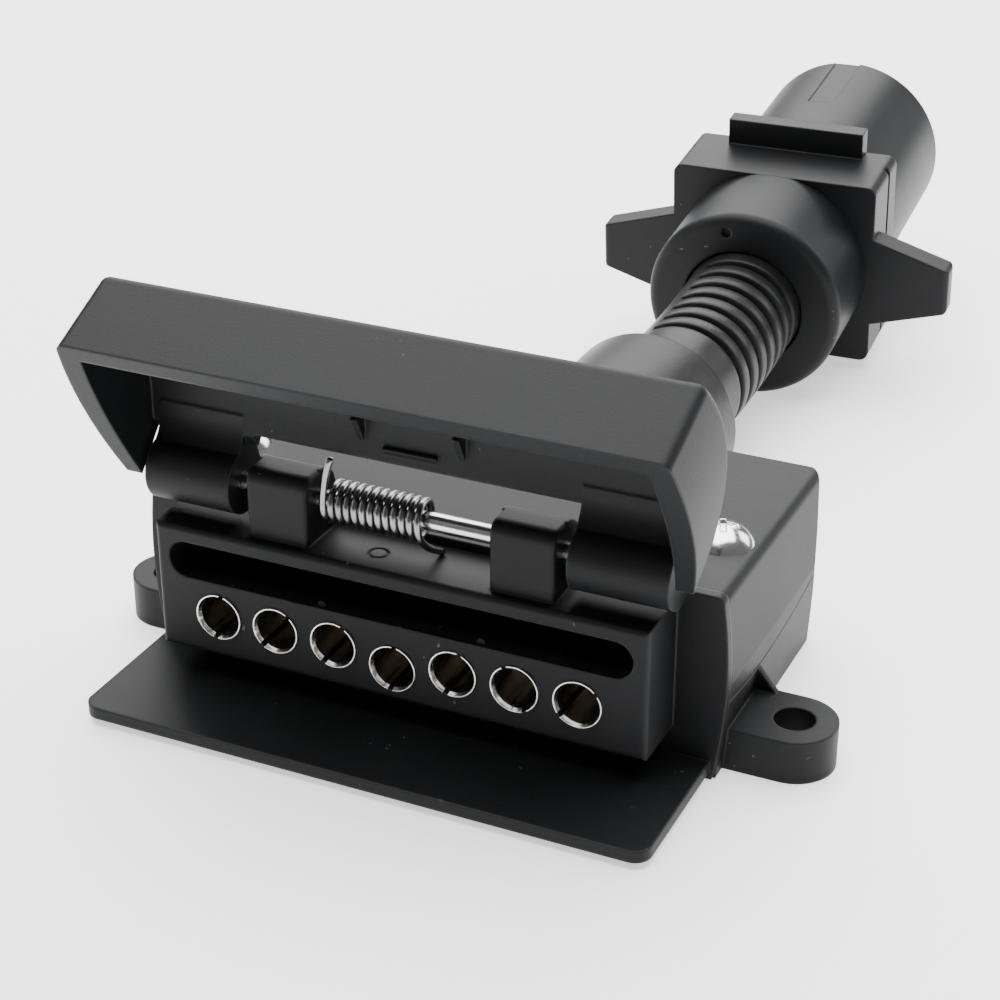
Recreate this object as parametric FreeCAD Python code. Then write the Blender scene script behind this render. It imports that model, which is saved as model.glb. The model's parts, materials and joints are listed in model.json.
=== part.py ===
import FreeCAD, Part
import os
from math import cos, hypot, radians, sin, sqrt

# Trailer wiring adapter: a flat seven-way socket with a sprung lid, joined by a
# slotted rubber boot to a round seven-pin plug. All sizes are in millimetres.
# The origin lies on the base plane, below the middle contact and in line with the
# two mounting-ear holes.
# -Y is the mating side of the socket, +Y runs along the cable, and +Z is up.

V = FreeCAD.Vector
X_AXIS, Y_AXIS, Z_AXIS = V(1, 0, 0), V(0, 1, 0), V(0, 0, 1)

# Contacts of the flat socket
PITCH = 7.5
WAYS = 7
CONTACT_Z = 11.3
MIDDLE_DROP = 1.2
SLEEVE_R = 2.9
SLEEVE_BORE_R = 2.5
BORE_DEPTH = 14.0
CONTACT_BACK_Y = 6.0
SLIT_ANGLES = (100, 128, 118, 96, 108, 64, 140)

# Nose, tongue and bezel
NOSE_FRONT_Y = -16.0
NOSE_HALF = 30.5
NOSE_Z0, NOSE_Z1 = 5.9, 22.1
BEZEL_Y0, BEZEL_Y1 = -7.7, -6.4
TONGUE_HALF = 35.0
TONGUE_FRONT_Y = -27.0
TONGUE_Z0, TONGUE_Z1 = 0.9, 2.4
SLOT_HALF = 28.8
SLOT_Z = 17.9
SLOT_H = 4.6
SLOT_DEPTH = 12.0
SLOT_NUB_X = (-9.3, 10.6)
SLOT_NUB_R = 0.5
SLOT_RIB_X = -21.5
MARK_X, MARK_Y, MARK_R = -3.5, -12.1, 1.25

# Rear body and cover
BODY_BACK_Y = 28.0
WIDEST_Z = 11.8
PARTING_ARC = ((-8.0, 9.9), (11.0, 8.7), (28.5, 11.9))
BOSS_SPLIT_Z = 8.4
SHELL_Z0 = 7.0
BEZEL_TOP_Z = 23.3
COVER_TOP_Z = 23.1
BODY_HALF_BOTTOM, BODY_HALF_MID, BODY_HALF_TOP = 35.6, 36.6, 35.9
BEZEL_CORNER_R = 1.0
WALL = 2.0
PLAN_CORNER_R = 5.0
COVER_GAP = 0.15
COVER_EDGE_R = 1.2
COVER_SCREW_X, COVER_SCREW_Y = 31.0, 5.0
COVER_SCREW_R = 1.3
BOSS_R = 3.8
CLAMP_Y = 21.3
CLAMP_HALF = 8.0
CLAMP_POST_R = 2.2
CLAMP_SCREW_R = 1.2
CLAMP_BAR_T = 2.0
TERMINAL_SCREW_R = 0.9

# Mounting ears
EAR_LEFT_X, EAR_RIGHT_X = -39.3, 42.2
EAR_R = 5.0
EAR_HOLE_R = 2.4
EAR_T = 5.4
GUSSET_T, GUSSET_W, GUSSET_H = 0.9, 3.2, 5.0

# Hinge, spring and lid
HINGE_Y, HINGE_Z = -11.0, 26.9
KNUCKLE_R = 3.5
KNUCKLE_EDGE_R = 1.6
KNUCKLE_X0, KNUCKLE_X1 = 11.2, 18.9
PIN_R = 1.1
PIN_HALF = 31.6
FIT = 0.05
SPRING_X0, SPRING_X1 = -9.8, 2.0
SPRING_TURNS = 12
SPRING_R = 2.18
SPRING_WIRE_R = 0.42
LID_LEAN = 28.4
LID_EDGE_R = 1.2
LID_END_WALL = 2.7
BARREL_R = 3.9
BARREL_OUT_X = 32.0
BARREL_IN_LEFT, BARREL_IN_RIGHT = -21.05, 20.4
WINDOW_LEFT, WINDOW_RIGHT = -19.6, 20.7
WINDOW_EDGE = 5.2

# Boot and plug, drawn along +Y from the bend pivot and then turned into place
BOOT_X, BOOT_Z = 4.2, 13.0
PIVOT_Y = 76.0
PLUG_YAW, PLUG_PITCH = 2.3, 6.0
BOOT_BORE_R = 4.6
BOOT_R = 8.8
NECK_R = 12.4
NECK_END_Y = 52.0
GROOVE_R = 6.8
FLANGE_R = 7.6
FLEX_HALF = 13.4
FLEX_GAP = 0.8
WIRE_GAP = 3.4
SLOT_RINGS = 7
RING_SLOT_W = 1.0
SPINE_W = 4.6
CAP_Y0, CAP_Y1 = 15.0, 30.5
CAP_R = 14.8
CAP_EDGE_R = 1.5
CAP_MOUTH_R = 9.2
BEAD_R = 11.6
BLOCK_Y1 = 43.0
BLOCK_W, BLOCK_H = 31.7, 29.2
BLOCK_GROOVE_Y = 38.0
WING_TIP_X = 27.5
WING_DROP = 1.0
BAR_X0, BAR_X1 = -10.1, 11.1
PLUG_R = 15.0
PLUG_BORE_R = 13.2
PLUG_END_Y = 77.0
KEYWAY_X0, KEYWAY_X1, KEYWAY_Y0 = -2.9, 1.3, 59.4
PLUG_PIN_R = 2.5
PLUG_PIN_ROOT_R = 2.75
PLUG_PIN_CIRCLE_R = 8.6
INSERT_Y0, INSERT_Y1 = 38.0, 50.0
INSERT_SCREW_Z = -4.4
INSERT_HEAD_R = 1.2
PIN_END_Y = 66.0
PIN_SLIT = 5.5
WIRE_R = 1.2
BUNDLE_R = 2.7


# --- small modelling helpers -------------------------------------------------

def box(x0, x1, y0, y1, z0, z1):
    """Block between two corners."""
    return Part.makeBox(x1 - x0, y1 - y0, z1 - z0, V(x0, y0, z0))


def rod(start, axis, radius, length):
    """Cylinder from a start point along an axis."""
    return Part.makeCylinder(radius, length, V(*start), axis)


def tube(start, axis, outer, inner, length):
    """Hollow cylinder."""
    return rod(start, axis, outer, length).cut(rod(start, axis, inner, length))


def prism(points, direction):
    """Closed outline swept along a vector; a pair of points makes an arc."""
    edges = []
    first = last = V(*points[0])
    for item in points[1:]:
        if isinstance(item[0], (tuple, list)):
            via, end = V(*item[0]), V(*item[1])
            edges.append(Part.Arc(last, via, end).toShape())
        else:
            end = V(*item)
            edges.append(Part.makeLine(last, end))
        last = end
    if last.distanceToPoint(first) > 1e-6:
        edges.append(Part.makeLine(last, first))
    return Part.Face(Part.Wire(edges)).extrude(direction)


def prism_x(outline, x0, x1):
    """Outline given in (y, z), swept from x0 to x1."""
    points = [lift(item, lambda a, b: (x0, a, b)) for item in outline]
    return prism(points, V(x1 - x0, 0, 0))


def prism_y(outline, y0, y1):
    """Outline given in (x, z), swept from y0 to y1."""
    points = [lift(item, lambda a, b: (a, y0, b)) for item in outline]
    return prism(points, V(0, y1 - y0, 0))


def prism_z(outline, z0, z1):
    """Outline given in (x, y), swept from z0 to z1."""
    points = [lift(item, lambda a, b: (a, b, z0)) for item in outline]
    return prism(points, V(0, 0, z1 - z0))


def lift(item, place):
    """Put a 2-D point, or a 2-D (via, end) arc, into 3-D."""
    if isinstance(item[0], (tuple, list)):
        return [place(*item[0]), place(*item[1])]
    return place(*item)


def fuse(*shapes):
    """Union of all shapes with seams removed."""
    return shapes[0].fuse(list(shapes[1:])).removeSplitter()


def spin_y(profile):
    """Solid of revolution about the Y axis from (radius, y) points."""
    wire = Part.makePolygon([V(r, y, 0) for r, y in profile + profile[:1]])
    return Part.Face(wire).revolve(V(0, 0, 0), Y_AXIS, 360)


def soften(shape, radius, wanted):
    """Round the edges that the test picks."""
    edges = [edge for edge in shape.Edges if wanted(edge)]
    return shape.makeFillet(radius, edges)


def near(value, target):
    return abs(value - target) < 0.01


def path_tube(points, radius, bend):
    """Round wire along straight runs joined by tangent arcs."""
    points = [V(*p) for p in points]
    edges = []
    last = points[0]
    for before, corner, after in zip(points, points[1:], points[2:]):
        inward, outward = (before - corner).normalize(), (after - corner).normalize()
        if (inward + outward).Length < 1e-6:
            continue
        first, second = corner + inward * bend, corner + outward * bend
        half = (inward + outward).normalize()
        turn = inward.getAngle(outward) / 2
        arc_r = bend * sin(turn) / cos(turn)
        middle = corner + half * (hypot(arc_r, bend) - arc_r)
        edges.append(Part.makeLine(last, first))
        edges.append(Part.Arc(first, middle, second).toShape())
        last = second
    edges.append(Part.makeLine(last, points[-1]))
    spine = Part.Wire(edges)
    heading = points[1] - points[0]
    ring = Part.Wire(Part.makeCircle(radius, points[0], heading))
    return Part.Wire(spine).makePipeShell([ring], True, False)


def pan_screw(head_r, head_h, shank_r, length):
    """Cross-recess screw: head base at the origin, shank along -Z."""
    dome_r = (head_r ** 2 + head_h ** 2) / (2 * head_h)
    head = Part.makeSphere(dome_r, V(0, 0, head_h - dome_r))
    head = head.common(rod((0, 0, 0), Z_AXIS, head_r, head_h))
    shank = rod((0, 0, 0), -Z_AXIS, shank_r, length)
    arm, width, deep = 0.55 * head_r, 0.24 * head_r, 0.5 * head_h
    cross = box(-arm, arm, -width / 2, width / 2, head_h - deep, head_h)
    cross = cross.fuse(box(-width / 2, width / 2, -arm, arm, head_h - deep, head_h))
    return fuse(head, shank).cut(cross)


def moved(shape, x, y, z):
    copy = shape.copy()
    copy.translate(V(x, y, z))
    return copy


def turned(shape, centre, axis, angle):
    copy = shape.copy()
    copy.rotate(V(*centre), axis, angle)
    return copy


# --- places that several pieces share ----------------------------------------

def contact_places():
    """(x, z) of the seven ways; the middle one sits a little lower."""
    middle = WAYS // 2
    drops = [MIDDLE_DROP if i == middle else 0.0 for i in range(WAYS)]
    return [((i - middle) * PITCH, CONTACT_Z - drops[i]) for i in range(WAYS)]


def pin_places():
    """(x, z) of the plug pins about the plug axis: one in the middle, six around."""
    around = [radians(60 * k + 90) for k in range(6)]
    ring = [(PLUG_PIN_CIRCLE_R * cos(a), PLUG_PIN_CIRCLE_R * sin(a)) for a in around]
    return [(0.0, 0.0)] + ring


def bundle_places():
    """(x, z) of the wires in the boot, so that none crosses its neighbour."""
    angles = (180, 240, 120, None, 60, 300, 0)
    return [(0.0, 0.0) if a is None else
            (BUNDLE_R * cos(radians(a)), BUNDLE_R * sin(radians(a))) for a in angles]


def to_plug(shape, share=1.0):
    """Turn a shape drawn along +Y from the pivot into its resting direction."""
    copy = turned(shape, (0, 0, 0), X_AXIS, PLUG_PITCH * share)
    copy = turned(copy, (0, 0, 0), Z_AXIS, PLUG_YAW * share)
    return moved(copy, BOOT_X, PIVOT_Y, BOOT_Z)


def screw_bosses(z0, z1, radius):
    return [rod((side * COVER_SCREW_X, COVER_SCREW_Y, z0), Z_AXIS, radius, z1 - z0)
            for side in (-1, 1)]


def clamp_rods(z0, length, radius):
    return [rod((BOOT_X + dx, CLAMP_Y, z0), Z_AXIS, radius, length)
            for dx in (-CLAMP_HALF, CLAMP_HALF)]


def clamp_bottom():
    return BOOT_Z + BUNDLE_R + WIRE_R + 0.05


# --- socket half --------------------------------------------------------------

def body_plan(inset, y0):
    """Plan of the rear body with rounded rear corners, as a tall block."""
    half, back, r = 40.0 - inset, BODY_BACK_Y - inset, PLAN_CORNER_R
    side = BODY_HALF_MID - inset
    k = r * (1 - 1 / sqrt(2))
    outline = [(-half, y0), (-half, y0 + 1), (-side, y0 + 1), (-side, back - r),
               [(-side + k, back - k), (-side + r, back)], (side - r, back),
               [(side - k, back - k), (side, back - r)], (side, y0 + 1),
               (half, y0 + 1), (half, y0)]
    return prism_z(outline, -1.0, 40.0)


def bezel_outline():
    """Barrel-shaped front plate with rounded top corners, in (x, z)."""
    low, mid, top = 35.3, BODY_HALF_MID, BODY_HALF_TOP
    r = BEZEL_CORNER_R
    k = r * (1 - 1 / sqrt(2))
    return [(-low, 0.0), [(-mid, 10.5), (-top, BEZEL_TOP_Z - r)],
            [(-top + k, BEZEL_TOP_Z - k), (-top + r, BEZEL_TOP_Z)], (top - r, BEZEL_TOP_Z),
            [(top - k, BEZEL_TOP_Z - k), (top, BEZEL_TOP_Z - r)], [(mid, 10.5), (low, 0.0)]]


def rounded_slot(half, height, y0, y1):
    """Long slot with round ends across the nose."""
    r = height / 2
    a = half - r
    z0, z1 = SLOT_Z - r, SLOT_Z + r
    return prism_y([(-a, z0), (a, z0), [(half, SLOT_Z), (a, z1)], (-a, z1),
                    [(-half, SLOT_Z), (-a, z0)]], y0, y1)


def slot_ribs():
    """Round nubs on the long edges of the key slot and one short rib from its roof."""
    start, long = NOSE_FRONT_Y + 0.8, SLOT_DEPTH - 0.8
    nubs = [rod((x, start, SLOT_Z + side * SLOT_H / 2), Y_AXIS, SLOT_NUB_R, long)
            for x in SLOT_NUB_X for side in (-1, 1)]
    roof = SLOT_Z + SLOT_H / 2
    rib = box(SLOT_RIB_X - 0.4, SLOT_RIB_X + 0.4, NOSE_FRONT_Y + 3.5,
              NOSE_FRONT_Y + SLOT_DEPTH, roof - 1.6, roof + 0.2)
    return nubs + [rib]


def ear(side):
    """Mounting tab with a bolt hole and a gusset rib against the body wall."""
    x = EAR_RIGHT_X if side > 0 else EAR_LEFT_X
    root = side * (BODY_HALF_BOTTOM - 1)
    tab = fuse(rod((x, 0, 0), Z_AXIS, EAR_R, EAR_T),
               box(min(x, root), max(x, root), -EAR_R, EAR_R, 0, EAR_T))
    rib = prism_y([(root, EAR_T - 0.2), (side * (BODY_HALF_BOTTOM + GUSSET_W), EAR_T - 0.2),
                   (root, EAR_T + GUSSET_H)], EAR_R - GUSSET_T, EAR_R)
    rib = rib.common(below_parting(0.0))
    return fuse(tab, rib).cut(rod((x, 0, -1), Z_AXIS, EAR_HOLE_R, EAR_T + 2))


def knuckle(x0):
    """Hinge block on the nose: flat front, softened front edges and a round back."""
    x1 = x0 + KNUCKLE_X1 - KNUCKLE_X0
    front, back = HINGE_Y - KNUCKLE_R, HINGE_Y + KNUCKLE_R - 0.1
    face = box(x0, x1, front, HINGE_Y, NOSE_Z1 - 1, HINGE_Z + KNUCKLE_R)
    face = soften(face, KNUCKLE_EDGE_R, lambda e: near(e.BoundBox.ZMin, HINGE_Z + KNUCKLE_R)
                  and near(e.BoundBox.YMax, front))
    face = soften(face, 0.5, lambda e: near(e.BoundBox.YMin, front)
                  and e.BoundBox.ZLength > 0.5 and e.BoundBox.XLength < 0.01)
    rear = box(x0, x1, HINGE_Y, back, NOSE_Z1 - 1, HINGE_Z)
    top = rod((x0, HINGE_Y, HINGE_Z), X_AXIS, KNUCKLE_R, x1 - x0)
    top = top.common(box(x0, x1, HINGE_Y, back + 1, HINGE_Z - 1, HINGE_Z + KNUCKLE_R))
    return fuse(face, rear, top)


def below_parting(gap):
    """Everything under the curved line where the tray and the cover meet."""
    front, low, back = [(y, z + gap) for y, z in PARTING_ARC]
    outline = [front, [low, back], (back[0], -1.0), (front[0], -1.0)]
    return prism_x(outline, -50, 50)


def body_section(z0, z1, half0, half1):
    """Side-drafted band of the rear body."""
    outline = [(-half0, z0), (half0, z0), (half1, z1), (-half1, z1)]
    return prism_y(outline, BEZEL_Y0 + 0.5, BODY_BACK_Y)


def boot_hole(y0, y1):
    return rod((BOOT_X, y0, BOOT_Z), Y_AXIS, GROOVE_R + 0.1, y1 - y0)


def socket_housing():
    """Nose, bezel, tongue, lower rear body, ears and hinge knuckles in one moulding."""
    nose = box(-NOSE_HALF, NOSE_HALF, NOSE_FRONT_Y, -2.0, NOSE_Z0, NOSE_Z1)
    nose = soften(nose, 0.7, lambda e: near(e.BoundBox.YMin, NOSE_FRONT_Y)
                  and near(e.BoundBox.YMax, NOSE_FRONT_Y))
    tongue = box(-TONGUE_HALF, TONGUE_HALF, TONGUE_FRONT_Y, BEZEL_Y1, TONGUE_Z0, TONGUE_Z1)
    tongue = soften(tongue, 2.0, lambda e: near(e.BoundBox.ZLength, TONGUE_Z1 - TONGUE_Z0)
                    and near(e.BoundBox.YMin, TONGUE_FRONT_Y))
    bezel = prism_y(bezel_outline(), BEZEL_Y0, BEZEL_Y1)
    tray = body_section(0.0, WIDEST_Z, BODY_HALF_BOTTOM, BODY_HALF_MID)
    tray = tray.common(body_plan(0.0, BEZEL_Y0 - 1)).common(below_parting(0.0))
    hollow = body_section(WALL, WIDEST_Z + 1, BODY_HALF_BOTTOM - WALL, BODY_HALF_MID - WALL)
    hollow = hollow.common(body_plan(WALL, BEZEL_Y1))
    hollow = hollow.common(box(-60, 60, -2.0, 60, -1, 60))
    tray = tray.cut(hollow)
    shape = fuse(nose, tongue, bezel, tray, ear(-1), ear(1),
                 knuckle(KNUCKLE_X0), knuckle(-KNUCKLE_X1))
    shape = shape.cut(rounded_slot(SLOT_HALF, SLOT_H, NOSE_FRONT_Y - 1,
                                   NOSE_FRONT_Y + SLOT_DEPTH))
    shape = shape.fuse(slot_ribs())
    mark = tube((MARK_X, MARK_Y, NOSE_Z1 - 0.2), Z_AXIS, MARK_R, MARK_R - 0.3, 1.0)
    shape = shape.cut(mark)
    for x, z in contact_places():
        shape = shape.cut(rod((x, NOSE_FRONT_Y - 1, z), Y_AXIS, SLEEVE_R, 30))
    shape = shape.cut(rod((-40, HINGE_Y, HINGE_Z), X_AXIS, PIN_R, 80))
    for boss in screw_bosses(WALL - 0.5, BOSS_SPLIT_Z, BOSS_R):
        shape = shape.fuse(boss)
    for pilot in screw_bosses(3.5, BOSS_SPLIT_Z + 1, COVER_SCREW_R):
        shape = shape.cut(pilot)
    shape = shape.cut(boot_hole(BODY_BACK_Y - 4, BODY_BACK_Y + 1))
    shape = shape.fuse(clamp_rods(WALL - 0.5, 6.0, CLAMP_POST_R))
    return shape.cut(clamp_rods(4.0, 5.0, CLAMP_SCREW_R)).removeSplitter()


def rear_cover():
    """Upper shell over the terminals, held by two screws."""
    top, r = COVER_TOP_Z, COVER_EDGE_R
    k = r * (1 - 1 / sqrt(2))
    low = BODY_HALF_BOTTOM + (BODY_HALF_MID - BODY_HALF_BOTTOM) * SHELL_Z0 / WIDEST_Z
    across = [(-BODY_HALF_MID, WIDEST_Z), (-low, SHELL_Z0), (low, SHELL_Z0),
              (BODY_HALF_MID, WIDEST_Z), (BODY_HALF_TOP, top - r),
              [(BODY_HALF_TOP - k, top - k), (BODY_HALF_TOP - r, top)],
              (r - BODY_HALF_TOP, top), [(k - BODY_HALF_TOP, top - k), (-BODY_HALF_TOP, top - r)]]
    along = [(BEZEL_Y1 + COVER_GAP, 0), (BODY_BACK_Y, 0), (BODY_BACK_Y, top - r),
             [(BODY_BACK_Y - k, top - k), (BODY_BACK_Y - r, top)], (BEZEL_Y1 + COVER_GAP, top)]
    outer = prism_y(across, BEZEL_Y1 + COVER_GAP, BODY_BACK_Y)
    outer = outer.common(prism_x(along, -40, 40)).common(body_plan(0.0, BEZEL_Y0 - 1))
    inner = prism_y([(WALL - BODY_HALF_MID, WIDEST_Z), (WALL - low, SHELL_Z0),
                     (low - WALL, SHELL_Z0), (BODY_HALF_MID - WALL, WIDEST_Z),
                     (BODY_HALF_TOP - WALL, top - WALL),
                     (WALL - BODY_HALF_TOP, top - WALL)], -2.0 + COVER_GAP, BODY_BACK_Y)
    inner = inner.common(body_plan(WALL, BEZEL_Y1))
    shell = outer.cut(inner)
    nose_clear = box(-NOSE_HALF - 0.2, NOSE_HALF + 0.2, BEZEL_Y0, -2.0 + COVER_GAP,
                     SHELL_Z0 - 1, NOSE_Z1 + 0.2)
    shell = shell.cut(nose_clear)
    for boss in screw_bosses(SHELL_Z0, COVER_TOP_Z - 1, BOSS_R):
        shell = shell.fuse(boss)
    shell = shell.cut(below_parting(COVER_GAP))
    for hole in screw_bosses(SHELL_Z0 - 1, COVER_TOP_Z + 1, COVER_SCREW_R + 0.4):
        shell = shell.cut(hole)
    return shell.cut(boot_hole(BODY_BACK_Y - 4, BODY_BACK_Y + 1)).removeSplitter()


def cover_screws():
    """Two domed screws beside the hood, from the cover into the tray bosses."""
    one = pan_screw(3.7, 2.3, COVER_SCREW_R, 19.0)
    return Part.makeCompound([moved(one, side * COVER_SCREW_X, COVER_SCREW_Y, COVER_TOP_Z)
                              for side in (-1, 1)])


def socket_contact(x, z, slit_angle):
    """Turned sleeve, split at the front, with a solid terminal end at the back."""
    length = CONTACT_BACK_Y - NOSE_FRONT_Y + 0.25
    y0 = NOSE_FRONT_Y - 0.25
    body = rod((0, y0, 0), Y_AXIS, SLEEVE_R, length)
    bore = rod((0, y0, 0), Y_AXIS, SLEEVE_BORE_R, BORE_DEPTH)
    mouth = Part.makeCone(SLEEVE_BORE_R + 0.25, SLEEVE_BORE_R, 0.5, V(0, y0, 0), Y_AXIS)
    slit = box(-4, 4, y0 - 1, y0 + 10.0, -0.3, 0.3)
    slit = turned(slit, (0, 0, 0), Y_AXIS, slit_angle)
    wire_hole = rod((0, CONTACT_BACK_Y - 5.0, 0), Y_AXIS, WIRE_R + FIT, 6.0)
    screw_hole = rod((0, CONTACT_BACK_Y - 3.0, 0), Z_AXIS, TERMINAL_SCREW_R, 4.0)
    return moved(body.cut([bore, mouth, slit, wire_hole, screw_hole]), x, 0, z)


def contact_screws():
    """Slotted screws that hold the wires in the sleeves."""
    screw = fuse(rod((0, 0, 0), Z_AXIS, TERMINAL_SCREW_R, 1.9), rod((0, 0, 1.9), Z_AXIS, 1.5, 1.0))
    screw = screw.cut(box(-2, 2, -0.2, 0.2, 2.4, 3.0))
    return Part.makeCompound([moved(screw, x, CONTACT_BACK_Y - 3.0, z + 1.25)
                              for x, z in contact_places()])


def contact_retainer():
    """Clip-in plate that keeps the sleeves from being pushed out backwards."""
    plate = box(-27.0, 27.0, -1.95, 0.0, 5.4, 17.0)
    for x, z in contact_places():
        plate = plate.cut(rod((x, -3, z), Y_AXIS, SLEEVE_R, 6))
    return plate


def cable_clamp():
    """Saddle that presses the wire bundle onto the posts in front of the boot."""
    half, bottom = CLAMP_HALF + CLAMP_POST_R, clamp_bottom()
    bar = box(BOOT_X - half, BOOT_X + half, CLAMP_Y - 1.8, CLAMP_Y + 1.8, bottom,
              bottom + CLAMP_BAR_T)
    legs = clamp_rods(7.5, 10.0, CLAMP_POST_R)
    return fuse(bar, *legs).cut(clamp_rods(7.0, 14.0, CLAMP_SCREW_R))


def clamp_screws():
    """Two screws through the saddle into its posts."""
    one = pan_screw(2.1, 1.2, CLAMP_SCREW_R, 10.5)
    top = clamp_bottom() + CLAMP_BAR_T
    return Part.makeCompound([moved(one, BOOT_X + dx, CLAMP_Y, top)
                              for dx in (-CLAMP_HALF, CLAMP_HALF)])


def socket_wire(place, bundle):
    """Wire from a contact to the middle of the boot; outer wires join the bundle last."""
    x, z = place
    bx, bz = BOOT_X + bundle[0], BOOT_Z + bundle[1]
    join_y = CLAMP_Y - 2.8 - 1.5 * (WAYS // 2 - abs(x) / PITCH)
    points = [(x, CONTACT_BACK_Y - 4.8, z), (x, CONTACT_BACK_Y + 2.5, z),
              (bx, join_y, bz), (bx, PIVOT_Y - WIRE_GAP / 2, bz)]
    return path_tube(points, WIRE_R, 1.6)


# --- hinge, spring and lid ------------------------------------------------------

def hinge_pin():
    """Straight pin through the knuckles and the lid barrels."""
    pin = rod((-PIN_HALF, HINGE_Y, HINGE_Z), X_AXIS, PIN_R, 2 * PIN_HALF)
    return pin.makeChamfer(0.25, [pin.Edges[0], pin.Edges[2]])


def lid_spring():
    """Close-wound torsion spring with the leg that rests on the nose."""
    pitch = (SPRING_X1 - SPRING_X0) / SPRING_TURNS
    helix = Part.makeHelix(pitch, pitch * SPRING_TURNS, SPRING_R)
    ring = Part.Wire(Part.makeCircle(SPRING_WIRE_R, V(SPRING_R, 0, 0), V(0, 1, 0)))
    coil = Part.Wire(helix).makePipeShell([ring], True, True)
    coil = turned(coil, (0, 0, 0), Y_AXIS, 90)
    coil = turned(coil, (0, 0, 0), X_AXIS, 180)
    coil = moved(coil, SPRING_X0, HINGE_Y, HINGE_Z)
    start = V(SPRING_X1, HINGE_Y, HINGE_Z - SPRING_R)
    leg_x = SPRING_X1 + 0.1
    leg = rod((leg_x, start.y + 0.2, start.z), V(0.1, -1.0, -0.42), SPRING_WIRE_R, 4.2)
    return coil.fuse(leg).removeSplitter()


def spring_arm():
    """Leg of the spring that turns with the lid and presses on its back wall."""
    x = SPRING_X0 - SPRING_WIRE_R - 0.45
    arm = rod((x, SPRING_R, -0.6), V(0, 0.12, 1.0), SPRING_WIRE_R, 5.4)
    return place_lid(arm)


def place_lid(shape):
    """Lean a shape drawn with the hinge axis at the origin and stand it on the hinge."""
    return moved(turned(shape, (0, 0, 0), X_AXIS, LID_LEAN), 0, HINGE_Y, HINGE_Z)


def lid_profile(inset):
    """Side view of the hood in (y, z): flat top band, curved back, open front."""
    if inset:
        return [(-4.0, 22.0), (6.2, 21.4), [(7.05, 14.8), (4.55, 7.4)], (2.85, 5.0),
                (2.85, -1.0), (-4.0, -1.0)]
    return [(-3.0, 24.2), (8.0, 23.5), [(9.0, 14.9), (6.1, 6.3)], (4.4, 3.9), (-3.0, 1.8)]


def lid_front(inset, low):
    """Front view of the hood in (x, z), bulging a little at half height."""
    top, mid, bottom = 35.1 - inset, 36.1 - inset, 34.6 - inset
    return [(-bottom, low), (bottom, low), [(mid, 12.0), (top, 24.5)], (-top, 24.5),
            [(-mid, 12.0), (-bottom, low)]]


def lid():
    """Hood that leans open over the socket and turns down over its face."""
    outer = prism_x(lid_profile(0), -40, 40).common(prism_y(lid_front(0, 1.5), -8, 14))
    outer = soften(outer, LID_EDGE_R, lambda e: e.BoundBox.YMax > 0 and e.BoundBox.ZMax > 5)
    inner = prism_x(lid_profile(1), -40, 40)
    inner = inner.common(prism_y(lid_front(LID_END_WALL, -2.0), -8, 14))
    hood = outer.cut(inner)
    hood = hood.cut(box(WINDOW_LEFT, WINDOW_RIGHT, 0, 14, -1, WINDOW_EDGE))
    barrels = []
    for x0, x1 in ((-BARREL_OUT_X, BARREL_IN_LEFT), (BARREL_IN_RIGHT, BARREL_OUT_X)):
        barrels.append(rod((x0, 0, 0), X_AXIS, BARREL_R, x1 - x0))
        barrels.append(prism_x([(BARREL_R, 0.0), (4.6, 4.2), (5.0, 7.4), (4.0, 6.9),
                                [(2.6, 4.9), (0.5, 3.8)], (0.5, 0.0)], x0, x1))
    ribs = [box(x - 0.4, x + 0.4, 4.0, 6.2, 7.0, 10.6) for x in (-6.0, 6.3)]
    catch = box(-3.2, 3.4, 3.5, 5.6, 6.1, 6.9)
    solid = fuse(hood, catch, *(barrels + ribs))
    bore = rod((-40, 0, 0), X_AXIS, PIN_R + FIT, 80)
    return place_lid(solid.cut(bore))


# --- boot -----------------------------------------------------------------------

def boot_neck():
    """Rubber boot from the groove in the rear wall to the flexible part."""
    y_in, y_out = BODY_BACK_Y - WALL - 0.1, BODY_BACK_Y + 0.1
    end = PIVOT_Y - FLEX_HALF - FLEX_GAP
    profile = [(BOOT_BORE_R, y_in - 2.0), (FLANGE_R, y_in - 2.0), (FLANGE_R, y_in),
               (GROOVE_R, y_in), (GROOVE_R, y_out), (NECK_R - 0.6, y_out),
               (NECK_R, y_out + 0.6), (NECK_R, NECK_END_Y), (NECK_R - 1.0, NECK_END_Y + 1.2),
               (BOOT_R, NECK_END_Y + 3.5), (BOOT_R, end), (BOOT_BORE_R, end)]
    return moved(spin_y(profile), BOOT_X, 0, BOOT_Z)


def boot_flex():
    """Slotted middle of the boot: rings on a thin sleeve, joined by two opposite spines."""
    def ring(outer, y0, y1):
        return tube((0, y0, 0), Y_AXIS, outer, BOOT_BORE_R, y1 - y0)

    spine = box(-BOOT_R - 1, BOOT_R + 1, -FLEX_HALF, FLEX_HALF, -SPINE_W / 2, SPINE_W / 2)
    spine = turned(spine, (0, 0, 0), Y_AXIS, 45)
    pieces = [ring(BOOT_BORE_R + 1.2, -FLEX_HALF, FLEX_HALF),
              ring(BOOT_R, -FLEX_HALF, FLEX_HALF).common(spine)]
    step = 2 * FLEX_HALF / SLOT_RINGS
    edge = -FLEX_HALF
    for k in range(SLOT_RINGS + 1):
        slot = -FLEX_HALF + (k + 0.5) * step
        ring_end = min(slot - RING_SLOT_W / 2, FLEX_HALF)
        pieces.append(ring(BOOT_R, edge, ring_end))
        edge = slot + RING_SLOT_W / 2
    return to_plug(fuse(*pieces), 0.5)


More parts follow.
